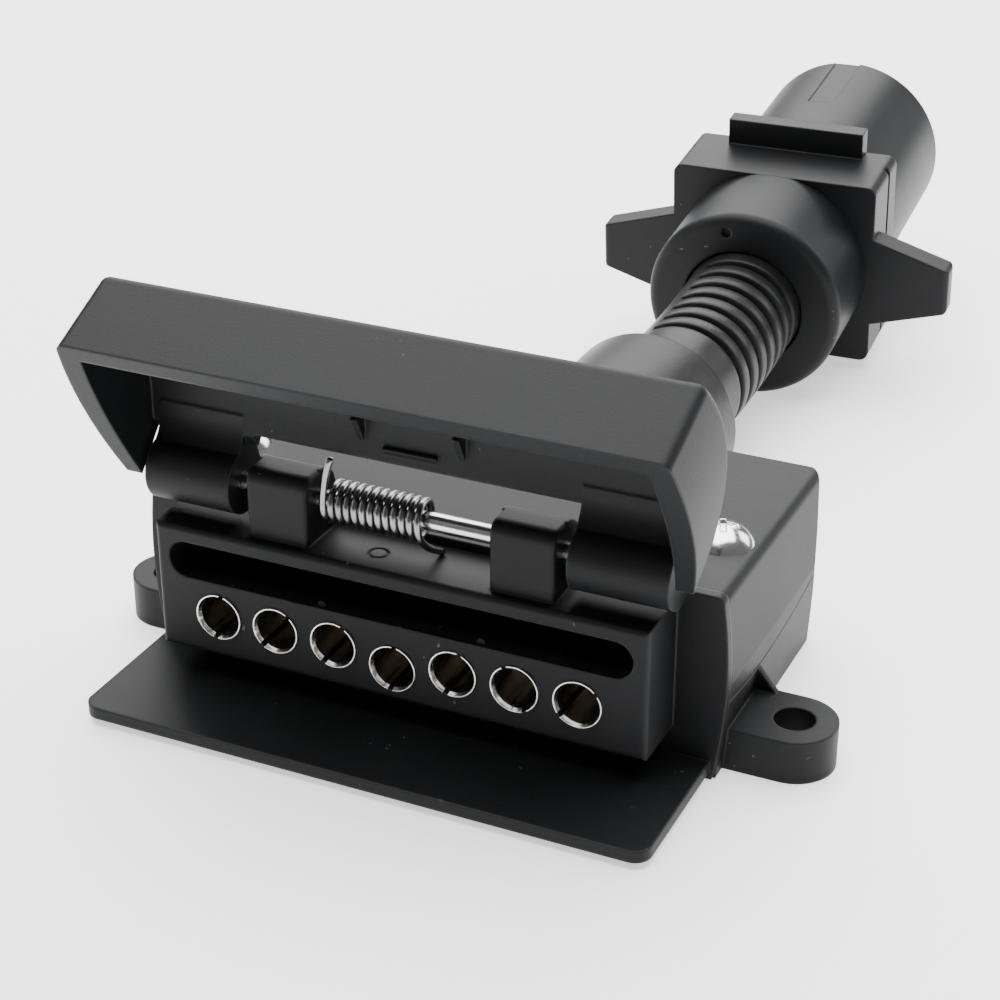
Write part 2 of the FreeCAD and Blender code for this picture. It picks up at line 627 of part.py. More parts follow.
def boot_end():
    """Last part of the boot, with the bead that the gland cap traps."""
    y0 = FLEX_HALF + FLEX_GAP
    profile = [(BOOT_BORE_R, y0), (BOOT_R, y0), (BOOT_R, CAP_Y0 + 3.0),
               (BEAD_R, CAP_Y0 + 3.0), (BEAD_R, CAP_Y0 + 6.0), (BOOT_R, CAP_Y0 + 6.0),
               (BOOT_R, CAP_Y0 + 9.0), (BOOT_BORE_R, CAP_Y0 + 9.0)]
    return to_plug(spin_y(profile))


# --- plug half --------------------------------------------------------------------

def gland_cap():
    """Round cap that clamps the boot bead against the plug body."""
    cap = spin_y([(CAP_MOUTH_R, CAP_Y0), (CAP_R, CAP_Y0), (CAP_R, CAP_Y1 - 0.1),
                  (CAP_R - 3.0, CAP_Y1 - 0.1), (CAP_R - 3.0, CAP_Y0 + 2.8),
                  (CAP_MOUTH_R, CAP_Y0 + 2.8)])
    cap = soften(cap, CAP_EDGE_R, lambda e: near(e.BoundBox.XMax, CAP_R)
                 and near(e.BoundBox.YMax, CAP_Y0))
    mark = rod((-2.6, CAP_Y0 - 0.1, 11.9), Y_AXIS, 0.8, 0.7)
    return to_plug(cap.cut(mark))


def wing(side):
    """Tapered grip at the side of the block, flush with its front."""
    root, tip = side * (BLOCK_W / 2 - 1), side * WING_TIP_X
    shape = prism_y([(root, -7.4), (tip, -3.5), (tip, 3.5), (root, 7.4)], CAP_Y1, CAP_Y1 + 3.6)
    shape = moved(shape, 0, 0, -WING_DROP)
    return soften(shape, 0.8, lambda e: near(abs(e.BoundBox.XMin), WING_TIP_X)
                  and near(abs(e.BoundBox.XMax), WING_TIP_X))


def plug_body():
    """Square grip block with side wings, a latch bar and the round barrel."""
    block = box(-BLOCK_W / 2, BLOCK_W / 2, CAP_Y1, BLOCK_Y1, -BLOCK_H / 2, BLOCK_H / 2)
    block = soften(block, 1.5, lambda e: e.BoundBox.YLength > 5)
    for side in (-1, 1):
        x0, x1 = sorted((side * (BLOCK_W / 2 - 0.8), side * BLOCK_W))
        groove = box(x0, x1, BLOCK_GROOVE_Y, BLOCK_GROOVE_Y + 1.0, -BLOCK_H, BLOCK_H)
        block = block.cut(groove)
    bar = box(BAR_X0, BAR_X1, BLOCK_Y1 - 2.8, BLOCK_Y1, BLOCK_H / 2 - 1, BLOCK_H / 2 + 4.0)
    barrel = rod((0, BLOCK_Y1, 0), Y_AXIS, PLUG_R, PLUG_END_Y - BLOCK_Y1)
    barrel = soften(barrel, 0.6, lambda e: near(e.BoundBox.YMin, PLUG_END_Y))
    spigot = rod((0, CAP_Y0 + 7.0, 0), Y_AXIS, CAP_R - 3.1, CAP_Y1 - CAP_Y0 - 6.5)
    shape = fuse(block, bar, barrel, spigot, wing(-1), wing(1))
    mouth = rod((0, INSERT_Y0, 0), Y_AXIS, PLUG_BORE_R, 40)
    wire_room = fuse(rod((0, CAP_Y0 + 9.1, 0), Y_AXIS, 9.6, 10.0),
                     rod((0, CAP_Y1 + 0.5, 0), Y_AXIS, 11.6, INSERT_Y0 - CAP_Y1))
    entry = rod((0, CAP_Y0 + 6.0, 0), Y_AXIS, BOOT_R + 0.1, 5.0)
    keyway = box(KEYWAY_X0, KEYWAY_X1, KEYWAY_Y0, PLUG_END_Y + 1, PLUG_R - 0.5, PLUG_R + 2)
    return to_plug(shape.cut([mouth, wire_room, entry, keyway]))


def plug_insert():
    """Insulating disc that carries the seven pins."""
    disc = rod((0, INSERT_Y0 + 0.05, 0), Y_AXIS, PLUG_BORE_R, INSERT_Y1 - INSERT_Y0 - 0.05)
    for x, z in pin_places():
        disc = disc.cut(rod((x, INSERT_Y0 - 1, z), Y_AXIS, PLUG_PIN_ROOT_R, 20))
    screw_room = fuse(rod((0, INSERT_Y0 - 1, INSERT_SCREW_Z), Y_AXIS, TERMINAL_SCREW_R, 20),
                      rod((0, INSERT_Y1 - 1.2, INSERT_SCREW_Z), Y_AXIS, INSERT_HEAD_R, 5))
    key = box(-1.5, 1.5, INSERT_Y0, INSERT_Y1 + 0.1, PLUG_BORE_R - 1.4, PLUG_BORE_R + 1)
    return to_plug(disc.cut([screw_room, key]))


def plug_pin(x, z):
    """Split male pin with a thicker root in the insert and a terminal end behind it."""
    tip = rod((x, INSERT_Y1 - 1, z), Y_AXIS, PLUG_PIN_R, PIN_END_Y - INSERT_Y1 + 1)
    tip = soften(tip, 0.8, lambda e: near(e.BoundBox.YMin, PIN_END_Y))
    root = rod((x, INSERT_Y0 - 6.0, z), Y_AXIS, PLUG_PIN_ROOT_R, INSERT_Y1 - INSERT_Y0 + 6.0)
    pin = fuse(tip, root)
    slit = box(x - 4, x + 4, PIN_END_Y - PIN_SLIT, PIN_END_Y + 1, z - 0.3, z + 0.3)
    wire_hole = rod((x, INSERT_Y0 - 7.0, z), Y_AXIS, WIRE_R + FIT, 5.0)
    return to_plug(pin.cut([slit, wire_hole]))


def insert_screw():
    """Small screw that holds the pin insert in the barrel."""
    z = INSERT_SCREW_Z
    screw = fuse(rod((0, INSERT_Y1 - 1.2, z), Y_AXIS, INSERT_HEAD_R, 1.2),
                 rod((0, INSERT_Y0 + 0.2, z), Y_AXIS, TERMINAL_SCREW_R, INSERT_Y1 - INSERT_Y0 - 1.0))
    return to_plug(screw.cut(box(-2, 2, INSERT_Y1 - 0.5, INSERT_Y1 + 1, z - 0.2, z + 0.2)))


def plug_wire(place, bundle):
    """Wire from the middle of the boot to a plug pin."""
    x, z = place
    bx, bz = bundle
    points = [(bx, WIRE_GAP / 2, bz), (bx, CAP_Y0 + 10.2, bz), (x, INSERT_Y0 - 6.9, z),
              (x, INSERT_Y0 - 2.2, z)]
    return to_plug(path_tube(points, WIRE_R, 1.2))


# --- writing out ------------------------------------------------------------------

def nodes():
    """Every piece of the object under its own name."""
    parts = {
        "socket_housing": socket_housing(), "rear_cover": rear_cover(),
        "cover_screws": cover_screws(), "hinge_pin": hinge_pin(),
        "lid_spring": lid_spring(), "spring_arm": spring_arm(), "lid": lid(),
        "contact_screws": contact_screws(), "contact_retainer": contact_retainer(),
        "cable_clamp": cable_clamp(), "clamp_screws": clamp_screws(),
        "boot_neck": boot_neck(), "boot_flex": boot_flex(), "boot_end": boot_end(),
        "gland_cap": gland_cap(), "plug_body": plug_body(), "plug_insert": plug_insert(),
        "insert_screw": insert_screw(),
    }
    order = (2, 3, 1, 0, 6, 4, 5)
    for i, (place, bundle) in enumerate(zip(contact_places(), bundle_places())):
        name = i + 1
        parts["contact_%d" % name] = socket_contact(*place, SLIT_ANGLES[i])
        parts["wire_%d" % name] = socket_wire(place, bundle)
        pin_place = pin_places()[i]
        parts["plug_pin_%d" % name] = plug_pin(*pin_place)
        parts["plug_wire_%d" % name] = plug_wire(pin_places()[order[i]], bundle)
    return parts


def main():
    os.makedirs("parts", exist_ok=True)
    for name, shape in nodes().items():
        shape.exportStep("parts/%s.step" % name)


main()
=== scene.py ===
import json
import math

import bmesh
import bpy
import numpy as np
from bpy.props import FloatProperty, FloatVectorProperty, IntProperty, PointerProperty
from bpy.types import Operator, Panel, PropertyGroup
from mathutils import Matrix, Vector


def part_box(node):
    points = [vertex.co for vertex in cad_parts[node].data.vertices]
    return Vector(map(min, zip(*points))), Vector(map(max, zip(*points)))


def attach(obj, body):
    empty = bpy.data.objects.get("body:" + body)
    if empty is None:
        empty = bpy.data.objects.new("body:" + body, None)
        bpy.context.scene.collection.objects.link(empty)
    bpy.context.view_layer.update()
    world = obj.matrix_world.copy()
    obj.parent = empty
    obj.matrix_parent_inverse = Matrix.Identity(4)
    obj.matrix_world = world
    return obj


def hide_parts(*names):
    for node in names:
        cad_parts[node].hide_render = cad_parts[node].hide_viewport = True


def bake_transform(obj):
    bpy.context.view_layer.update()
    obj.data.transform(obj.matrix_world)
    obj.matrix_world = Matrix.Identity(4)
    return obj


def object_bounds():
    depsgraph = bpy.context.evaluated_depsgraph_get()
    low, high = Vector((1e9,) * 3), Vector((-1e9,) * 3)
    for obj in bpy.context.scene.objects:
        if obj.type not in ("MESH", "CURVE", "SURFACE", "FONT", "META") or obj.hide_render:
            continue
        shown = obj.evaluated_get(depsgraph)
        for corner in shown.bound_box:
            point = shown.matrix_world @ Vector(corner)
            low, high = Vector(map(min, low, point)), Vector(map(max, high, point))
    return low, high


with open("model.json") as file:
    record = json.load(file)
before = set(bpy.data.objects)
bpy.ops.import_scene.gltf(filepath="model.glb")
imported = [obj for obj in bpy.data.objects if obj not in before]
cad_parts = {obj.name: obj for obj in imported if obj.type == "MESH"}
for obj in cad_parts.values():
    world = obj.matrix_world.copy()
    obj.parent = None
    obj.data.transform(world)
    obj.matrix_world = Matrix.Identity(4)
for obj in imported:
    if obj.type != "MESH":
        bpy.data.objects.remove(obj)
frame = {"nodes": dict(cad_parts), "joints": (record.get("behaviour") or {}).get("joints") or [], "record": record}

bl_info = {
    "name": "Trailer Wiring Adapter",
    "version": (1, 0, 0),
    "blender": (4, 5, 0),
    "location": "View3D > Sidebar > Adapter",
    "description": "Soft parts and finishes of a flat socket to round plug adapter",
    "category": "Add Mesh",
}

MM = 0.001
NODES = frame["nodes"]
JOINTS = {joint["name"]: joint for joint in frame["joints"]}
HINGE = np.array(JOINTS["lid_hinge"]["pos_m"])
PIVOT = np.array(JOINTS["boot_bend_side"]["pos_m"])
MOUNTS = {mount["name"]: mount for mount in frame["record"]["mounts"]}
PLUG_WAY = np.array(MOUNTS["plug_barrel"]["axis"])
CAD_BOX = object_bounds()

# Boot: distances from the housing wall to the end of the neck and its shoulder, then
# distances from the bend pivot along the boot
NECK_R = 12.4 * MM
NECK_END, SHOULDER, SLEEVE_START = 23.9 * MM, 25.4 * MM, 27.5 * MM
SLEEVE_STRAIGHT = 12.8 * MM
SLOT_SPAN = 13.5 * MM
SLOT_SHIFT = 0.5 * MM
SLOT_LIP = 0.35 * MM
CAP_ENTRY, BOOT_TAIL = 14.6 * MM, 19.5 * MM
SPINE_EDGE = (2.0 * MM, 2.7 * MM)
BEND_REACH = 13.0 * MM

# Spring: both ends of the coil along the hinge, the tip of the leg on the nose from the
# hinge axis, and the leg up the hood
COIL_RIGHT, COIL_LEFT = 2.0 * MM, -9.8 * MM
COIL_START = 1.5 * math.pi
NOSE_LEG = (3.2 * MM, 1.6 * MM, -4.4 * MM)
LID_LEG, LID_LEG_LEAN = 5.2 * MM, 1.0 * MM

# Contact sleeves: the mouth mount's distance to the face where the bare bore starts
BORE_START_Y = -10.5 * MM
BORE_EDGE = (2.56 * MM, 2.64 * MM)

# Camera place in millimetres and the way it looks
CAMERA_PLACE = (101.148, -206.563, 141.768)
CAMERA_WAY = (-0.37269, 0.80805, -0.45624)
FLOOR_HALF = 4.0


# --- surfaces -----------------------------------------------------------------

def grid_mesh(name, grids, wrap_rows=False, sharp=35.0):
    """Mesh of (rows, cols, 3) arrays of one shape: each cell of four neighbours is a face.

    The last column joins the first, and with wrap_rows the last row joins the first.
    Rows that shrink to a point are merged into one pole. Edges that bend by more than
    the sharp angle, in degrees, keep a crisp shade."""
    grids = np.array(grids)
    count, rows, cols = grids.shape[:3]
    index = np.arange(count * rows * cols).reshape(count, rows, cols)
    if wrap_rows:
        index = np.concatenate([index, index[:, :1]], axis=1)
    index = np.concatenate([index, index[:, :, :1]], axis=2)
    quads = np.stack([index[:, :-1, :-1], index[:, :-1, 1:], index[:, 1:, 1:],
                      index[:, 1:, :-1]], axis=-1)
    quads = quads.reshape(-1, 4)
    mesh = bpy.data.meshes.new(name)
    mesh.vertices.add(count * rows * cols)
    mesh.vertices.foreach_set("co", grids.reshape(-1).astype(np.float32))
    mesh.loops.add(quads.size)
    mesh.loops.foreach_set("vertex_index", quads.reshape(-1).astype(np.int32))
    mesh.polygons.add(len(quads))
    mesh.polygons.foreach_set("loop_start", np.arange(0, quads.size, 4, dtype=np.int32))
    mesh.update(calc_edges=True)
    work = bmesh.new()
    work.from_mesh(mesh)
    bmesh.ops.remove_doubles(work, verts=work.verts, dist=1e-7)
    bmesh.ops.dissolve_degenerate(work, edges=work.edges, dist=1e-7)
    bmesh.ops.recalc_face_normals(work, faces=work.faces)
    work.to_mesh(mesh)
    work.free()
    mesh.shade_smooth()
    mesh.set_sharp_from_angle(angle=math.radians(sharp))
    return mesh


def add_piece(name, mesh, finish):
    """Object at the origin with one finish, under the given name."""
    piece = bpy.data.objects.new(name, mesh)
    bpy.context.scene.collection.objects.link(piece)
    mesh.materials.append(finish)
    return piece


def smoothstep(low, high, value):
    """0 below low, 1 above high, and 3t^2 - 2t^3 between."""
    t = np.clip((value - low) / (high - low), 0.0, 1.0)
    return t * t * (3.0 - 2.0 * t)


def round_corners(corners, steps=5):
    """Profile of (a, b, radius) corners with each corner turned into an arc.

    The arc starts and ends at radius * tan(half turn) from its corner."""
    corners = np.array(corners, dtype=float)
    points = [corners[0, :2]]
    for before, corner, after in zip(corners, corners[1:], corners[2:]):
        inward, outward = before[:2] - corner[:2], after[:2] - corner[:2]
        inward, outward = inward / np.linalg.norm(inward), outward / np.linalg.norm(outward)
        turn = math.pi - math.acos(np.clip(inward @ outward, -1.0, 1.0))
        reach = corner[2] * math.tan(turn / 2)
        if reach < 1e-9:
            points.append(corner[:2])
            continue
        start, end = corner[:2] + inward * reach, corner[:2] + outward * reach
        for t in np.linspace(0.0, 1.0, steps):
            points.append((1 - t) ** 2 * start + 2 * t * (1 - t) * corner[:2] + t ** 2 * end)
    points.append(corners[-1, :2])
    return np.array(points)


def bent_centre(along, reach):
    """Centre line of the boot and its direction at distances along from the pivot.

    It is straight along +Y to -reach, then a quadratic curve whose control point
    is the pivot, then straight along the plug from +reach."""
    t = np.clip((along + reach) / (2 * reach), 0.0, 1.0)[:, None]
    back, on = np.array([0.0, 1.0, 0.0]), PLUG_WAY
    curve = -reach * (1 - t) ** 2 * back + reach * t ** 2 * on
    before = np.minimum(along + reach, 0.0)[:, None] * back
    after = np.maximum(along - reach, 0.0)[:, None] * on
    way = (1 - t) * back + t * on
    return PIVOT + curve + before + after, way / np.linalg.norm(way, axis=1, keepdims=True)


def around_line(centres, ways, radii, angles, up=(0.0, 0.0, 1.0)):
    """Rings around a line: centre + radius * (cos(angle) * side + sin(angle) * top).

    side is way x up and top is side x way, so the rings never twist."""
    side = np.cross(ways, np.array(up))
    side /= np.linalg.norm(side, axis=1, keepdims=True)
    top = np.cross(side, ways)
    spokes = (np.cos(angles)[None, :, None] * side[:, None, :]
              + np.sin(angles)[None, :, None] * top[:, None, :])
    return centres[:, None, :] + radii[..., None] * spokes


def tube_grid(path, radius, sides=12):
    """Round wire along a path of points, with its ring frame carried along the path.

    Each ring's first spoke is the last one with its part along the path removed."""
    ways = np.gradient(path, axis=0)
    ways /= np.linalg.norm(ways, axis=1, keepdims=True)
    spoke = np.cross(ways[0], np.array([0.31, 0.17, 0.93]))
    spokes = []
    for way in ways:
        spoke = spoke - way * (spoke @ way)
        spoke = spoke / np.linalg.norm(spoke)
        spokes.append(spoke)
    first = np.array(spokes)
    second = np.cross(ways, first)
    angles = np.linspace(0.0, 2 * math.pi, sides, endpoint=False)
    ring = (np.cos(angles)[None, :, None] * first[:, None, :]
            + np.sin(angles)[None, :, None] * second[:, None, :])
    body = path[:, None, :] + radius * ring
    crown, shoulder = 0.5 * radius * ways, 0.4 * radius * ways
    starts = [path[0] - crown[0] + 0 * ring[0], path[0] - shoulder[0] + 0.7 * radius * ring[0]]
    ends = [path[-1] + shoulder[-1] + 0.7 * radius * ring[-1], path[-1] + crown[-1] + 0 * ring[0]]
    return np.concatenate([np.array(starts), body, np.array(ends)])


# --- shader writing -------------------------------------------------------------

class Wire:
    """A node's output socket, or a number, that takes part in Python arithmetic."""

    def __init__(self, finish, socket):
        self.finish = finish
        self.socket = socket

    def _math(self, operation, *values):
        return self.finish.node("ShaderNodeMath", {"operation": operation},
                                {i: v for i, v in enumerate(values)})

    def __add__(self, other):
        return self._math("ADD", self, other)

    __radd__ = __add__

    def __mul__(self, other):
        return self._math("MULTIPLY", self, other)

    __rmul__ = __mul__

    def __sub__(self, other):
        return self._math("SUBTRACT", self, other)

    def __rsub__(self, other):
        return self._math("SUBTRACT", other, self)

    def __pow__(self, other):
        return self._math("POWER", self, other)

    def clamped(self):
        return self._math("MAXIMUM", self._math("MINIMUM", self, 1.0), 0.0)

    def ramp(self, low, high):
        """0 at low and 1 at high, smooth between."""
        return self.finish.node("ShaderNodeMapRange", {"interpolation_type": "SMOOTHSTEP"},
                                {"Value": self, "From Min": low, "From Max": high})


class Finish:
    """A material with one Principled shader, its nodes made by one method."""

    def __init__(self, name):
        self.material = bpy.data.materials.new(name)
        self.material.use_nodes = True
        self.tree = self.material.node_tree
        self.shader = self.tree.nodes["Principled BSDF"]

    def node(self, kind, settings=None, values=None, output=0):
        """Add a node, apply its settings, then fill or link its sockets."""
        made = self.tree.nodes.new(kind)
        for key, value in (settings or {}).items():
            setattr(made, key, value)
        for key, value in (values or {}).items():
            self.put(made.inputs[key], value)
        return Wire(self, made.outputs[output])

    def put(self, socket, value):
        if isinstance(value, Wire):
            self.tree.links.new(value.socket, socket)
        else:
            socket.default_value = value

    def set(self, **values):
        """Shader inputs by name, with underscores for spaces."""
        for key, value in values.items():
            self.put(self.shader.inputs[key.replace("_", " ")], value)
        return self.material

    def place(self, centre=(0.0, 0.0, 0.0), stretch=(1.0, 1.0, 1.0), turn=(0.0, 0.0, 0.0)):
        """Object coordinates about a centre, in metres."""
        raw = self.node("ShaderNodeTexCoord", output="Object")
        moved = self.node("ShaderNodeVectorMath", {"operation": "SUBTRACT"},
                          {0: raw, 1: Vector(centre)})
        return self.node("ShaderNodeMapping", None,
                         {"Vector": moved, "Rotation": Vector(turn), "Scale": Vector(stretch)})

    def noise(self, place, size, detail=2.0, roughness=0.5):
        """Noise whose lumps are about size metres across."""
        return self.node("ShaderNodeTexNoise", None,
                         {"Vector": place, "Scale": 0.5 / size, "Detail": detail,
                          "Roughness": roughness})

    def axis(self, place, which):
        return self.node("ShaderNodeSeparateXYZ", None, {0: place}, output=which)

    def blend(self, amount, first, second):
        """Colour between first and second."""
        return self.node("ShaderNodeMix", {"data_type": "RGBA"},
                         {"Factor": amount, 6: first, 7: second}, output=2)

    def soft_edges(self, radius):
        """Normal that rolls over edges, and how far each point is turned by it."""
        rolled = self.node("ShaderNodeBevel", {"samples": 6}, {"Radius": radius})
        flat = self.node("ShaderNodeNewGeometry", output="Normal")
        same = self.node("ShaderNodeVectorMath", {"operation": "DOT_PRODUCT"},
                         {0: rolled, 1: flat}, output="Value")
        return rolled, 1.0 - same

    def relief(self, height, depth, normal=None):
        """Bump of a height field from 0 to 1 that is depth metres deep."""
        values = {"Height": height, "Distance": depth, "Strength": 1.0}
        if normal is not None:
            values["Normal"] = normal
        return self.node("ShaderNodeBump", None, values)


def grey(level, tint=(1.0, 1.0, 1.0)):
    return (level * tint[0], level * tint[1], level * tint[2], 1.0)


def moulded_plastic(name, look, gloss=0.0, grain=1.0, edge=0.45):
    """Black moulded nylon: spark-eroded grain, faint flow clouds, edges lightened partly as wear and partly as a
    painted highlight, dust.
    """
    f = Finish(name)
    place = f.place()
    rolled, corner = f.soft_edges(edge * MM)
    fine = f.noise(place, look.grain_size, 3.0, 0.6)
    cloud = f.noise(place, 0.011, 4.0, 0.6)
    rub = f.noise(f.place(stretch=(1.0, 0.22, 1.0)), 0.0022, 3.0, 0.6)
    dust = f.noise(place, 0.00045, 1.0).ramp(0.74, 0.80) * f.noise(place, 0.006).ramp(0.48, 0.66)
    # Edge mask for the lighter edges: partly wear, partly a painted highlight where edges catch the light.
    worn_and_highlit_edge = (corner * (2.2 + 2.0 * rub)).ramp(0.12, 0.9)
    base = f.blend(cloud.ramp(0.35, 0.7), tuple(look.colour) + (1.0,),
                   tuple(1.35 * c for c in look.colour) + (1.0,))
    # Edges lightened towards grey: partly wear, partly a painted highlight.
    base = f.blend(worn_and_highlit_edge * 0.55, base, grey(0.075))
    base = f.blend(dust * 0.45, base, grey(0.20, (1.0, 0.98, 0.95)))
    rough = look.roughness - gloss + 0.10 * cloud + 0.08 * fine - 0.07 * worn_and_highlit_edge + 0.2 * dust
    bump = f.relief(fine, look.grain_depth * grain, rolled)
    return f.set(Base_Color=base, Roughness=rough.clamped(), Normal=bump,
                 Specular_IOR_Level=look.sheen)


def boot_rubber(name, look):
    """Soft black rubber: waxy bloom in clouds, parting lines and tiny pits."""
    f = Finish(name)
    place = f.place()
    bloom = f.noise(place, 0.0045, 5.0, 0.62)
    pits = f.noise(place, 0.00035, 2.0)
    smear = f.noise(f.place(stretch=(1.0, 0.3, 1.0)), 0.0016, 3.0)
    base = f.blend(bloom.ramp(0.35, 0.8), tuple(look.colour) + (1.0,), grey(0.021, (1, 1, 1.03)))
    rough = look.roughness + 0.16 * bloom - 0.08 * smear
    bump = f.relief(pits + 0.6 * smear, 0.00003)
    return f.set(Base_Color=base, Roughness=rough.clamped(), Normal=bump, Specular_IOR_Level=0.16)


def plated_contact(name, look, centre):
    """Nickel-plated sleeve whose bore is bare turned brass."""
    f = Finish(name)
    place = f.place(centre)
    x, y, z = (f.axis(place, axis) for axis in range(3))
    radial = (x * x + z * z) ** 0.5
    front = (y - (BORE_START_Y - centre[1])).ramp(0.0, 1.6 * MM)
    inside = (1.0 - radial.ramp(*BORE_EDGE)) * front
    turning = f.noise(f.place(centre, stretch=(0.05, 1.0, 0.05)), 0.00018, 3.0)
    stain = f.noise(place, 0.0016, 3.0)
    brass = f.blend(stain.ramp(0.35, 0.75), tuple(look.bore_colour) + (1.0,),
                    (0.31, 0.265, 0.21, 1.0))
    nickel = f.blend(stain.ramp(0.45, 0.8), tuple(look.plate_colour) + (1.0,),
                     grey(0.62, (1.0, 0.97, 0.92)))
    base = f.blend(inside, nickel, brass)
    rough = 0.10 + 0.10 * turning + 0.16 * inside + 0.06 * stain
    rolled = f.soft_edges(0.10 * MM)[0]
    bump = f.relief(turning, 0.000008, rolled)
    return f.set(Base_Color=base, Metallic=1.0, Roughness=rough.clamped(), Normal=bump)


def drawn_steel(name, colour, roughness, stretch, edge=0.08):
    """Bright wire or pin: fine draw lines along one axis, light tarnish in clouds."""
    f = Finish(name)
    lines = f.noise(f.place(stretch=stretch), 0.00012, 3.0, 0.6)
    tarnish = f.noise(f.place(), 0.0018, 3.0)
    base = f.blend(tarnish.ramp(0.45, 0.85), tuple(colour) + (1.0,),
                   tuple(0.72 * c for c in colour) + (1.0,))
    rough = roughness + 0.10 * lines + 0.08 * tarnish
    rolled = f.soft_edges(edge * MM)[0]
    bump = f.relief(lines, 0.000006, rolled)
    return f.set(Base_Color=base, Metallic=1.0, Roughness=rough.clamped(), Normal=bump)


def wire_cover(name, colour):
    """Extruded wire insulation with faint draw lines."""
    f = Finish(name)
    lines = f.noise(f.place(stretch=(1.0, 0.08, 1.0)), 0.0003, 2.0)
    scuff = f.noise(f.place(), 0.002, 3.0)
    base = f.blend(scuff.ramp(0.5, 0.8), tuple(colour) + (1.0,),
                   tuple(0.8 * c for c in colour) + (1.0,))
    return f.set(Base_Color=base, Roughness=(0.32 + 0.15 * scuff).clamped(),
                 Normal=f.relief(lines, 0.00002))


# --- settings ---------------------------------------------------------------------

class PlasticSettings(PropertyGroup):
    colour: FloatVectorProperty(name="Colour", description="Colour of the moulded plastic",
                                default=(0.0068, 0.0072, 0.0080), subtype="COLOR", min=0.0, max=1.0)
    roughness: FloatProperty(name="Roughness", description="Mean roughness of the plastic",
                             default=0.40, min=0.05, max=1.0, subtype="FACTOR")
    sheen: FloatProperty(name="Specular", description="Strength of the plastic's reflection",
                         default=0.16, min=0.0, max=1.0, subtype="FACTOR")
    grain_size: FloatProperty(name="Grain Size", description="Width of the moulded grain",
                              default=0.00016, precision=5, unit="LENGTH")
    grain_depth: FloatProperty(name="Grain Depth", description="Depth of the moulded grain",
                               default=0.000024, precision=6, unit="LENGTH")


class MetalSettings(PropertyGroup):
    plate_colour: FloatVectorProperty(name="Plating", description="Colour of the nickel plate",
                                      default=(0.80, 0.785, 0.75), subtype="COLOR", min=0.0, max=1.0)
    bore_colour: FloatVectorProperty(name="Bore", description="Colour inside the sleeves",
                                     default=(0.52, 0.46, 0.385), subtype="COLOR", min=0.0, max=1.0)
    steel_colour: FloatVectorProperty(name="Steel", description="Colour of the hinge pin",
                                      default=(0.70, 0.70, 0.71), subtype="COLOR", min=0.0, max=1.0)
    spring_colour: FloatVectorProperty(name="Spring", description="Colour of the spring wire",
                                       default=(0.26, 0.26, 0.265), subtype="COLOR", min=0.0, max=1.0)


class BootSettings(PropertyGroup):
    colour: FloatVectorProperty(name="Colour", description="Colour of the rubber",
                                default=(0.010, 0.0102, 0.0108), subtype="COLOR", min=0.0, max=1.0)
    roughness: FloatProperty(name="Roughness", description="Mean roughness of the rubber",
                             default=0.34, min=0.05, max=1.0, subtype="FACTOR")
    sleeve_radius: FloatProperty(name="Sleeve Radius", description="Outer radius of the slotted sleeve",
                                 default=0.0088, precision=4, unit="LENGTH")
    bore_radius: FloatProperty(name="Bore Radius", description="Radius of the wire bore",
                               default=0.0046, precision=4, unit="LENGTH")
    slots: IntProperty(name="Slots", description="Number of relief slots", default=7, min=1, max=15)
    slot_width: FloatProperty(name="Slot Width", description="Width of a relief slot",
                              default=0.0013, precision=4, unit="LENGTH")
    slot_depth: FloatProperty(name="Slot Depth", description="Depth of a relief slot",
                              default=0.0030, precision=4, unit="LENGTH")
    spine_turn: FloatProperty(name="Spine Turn", description="Angle of the spines about the boot",
                              default=math.radians(135.0), subtype="ANGLE")


class SpringSettings(PropertyGroup):
    turns: FloatProperty(name="Turns", description="Turns of the coil", default=12.045, min=2.0)
    coil_radius: FloatProperty(name="Coil Radius", description="Radius to the middle of the wire",
                               default=0.00218, precision=5, unit="LENGTH")
    wire_radius: FloatProperty(name="Wire Radius", description="Radius of the spring wire",
                               default=0.00042, precision=5, unit="LENGTH")


class ScrewSettings(PropertyGroup):
    head_radius: FloatProperty(name="Head Radius", description="Radius of the domed head",
                               default=0.0037, precision=4, unit="LENGTH")
    head_height: FloatProperty(name="Head Height", description="Height of the domed head",
                               default=0.0023, precision=4, unit="LENGTH")
    shank_radius: FloatProperty(name="Shank Radius", description="Radius of the shank",
                                default=0.0013, precision=4, unit="LENGTH")
    recess_reach: FloatProperty(name="Recess Reach", description="Length of a recess arm from the middle",
                                default=0.0016, precision=4, unit="LENGTH")
    recess_width: FloatProperty(name="Recess Width", description="Width of a recess arm",
                                default=0.00062, precision=5, unit="LENGTH")
    recess_depth: FloatProperty(name="Recess Depth", description="Depth of the recess",
                                default=0.0008, precision=5, unit="LENGTH")
    recess_turn: FloatProperty(name="Recess Turn", description="Angle of the recess about the screw",
                               default=math.radians(20.0), subtype="ANGLE")


class StageSettings(PropertyGroup):
    floor_colour: FloatVectorProperty(name="Floor", description="Colour of the floor",
                                      default=(0.95, 0.95, 0.95), subtype="COLOR", min=0.0, max=1.0)
    floor_glow: FloatProperty(name="Floor Glow", description="Light that the backlit floor gives off",
                              default=0.95, min=0.0)
    ambient: FloatProperty(name="Ambient", description="Strength of the light from all around",
                           default=0.16, min=0.0)
    key_power: FloatProperty(name="Key Power", description="Power of the overhead softbox",
                             default=26.0, min=0.0, unit="POWER")
    focal_length: FloatProperty(name="Focal Length", description="Camera lens in millimetres",
                                default=80.77, min=10.0)


# --- pieces -----------------------------------------------------------------------

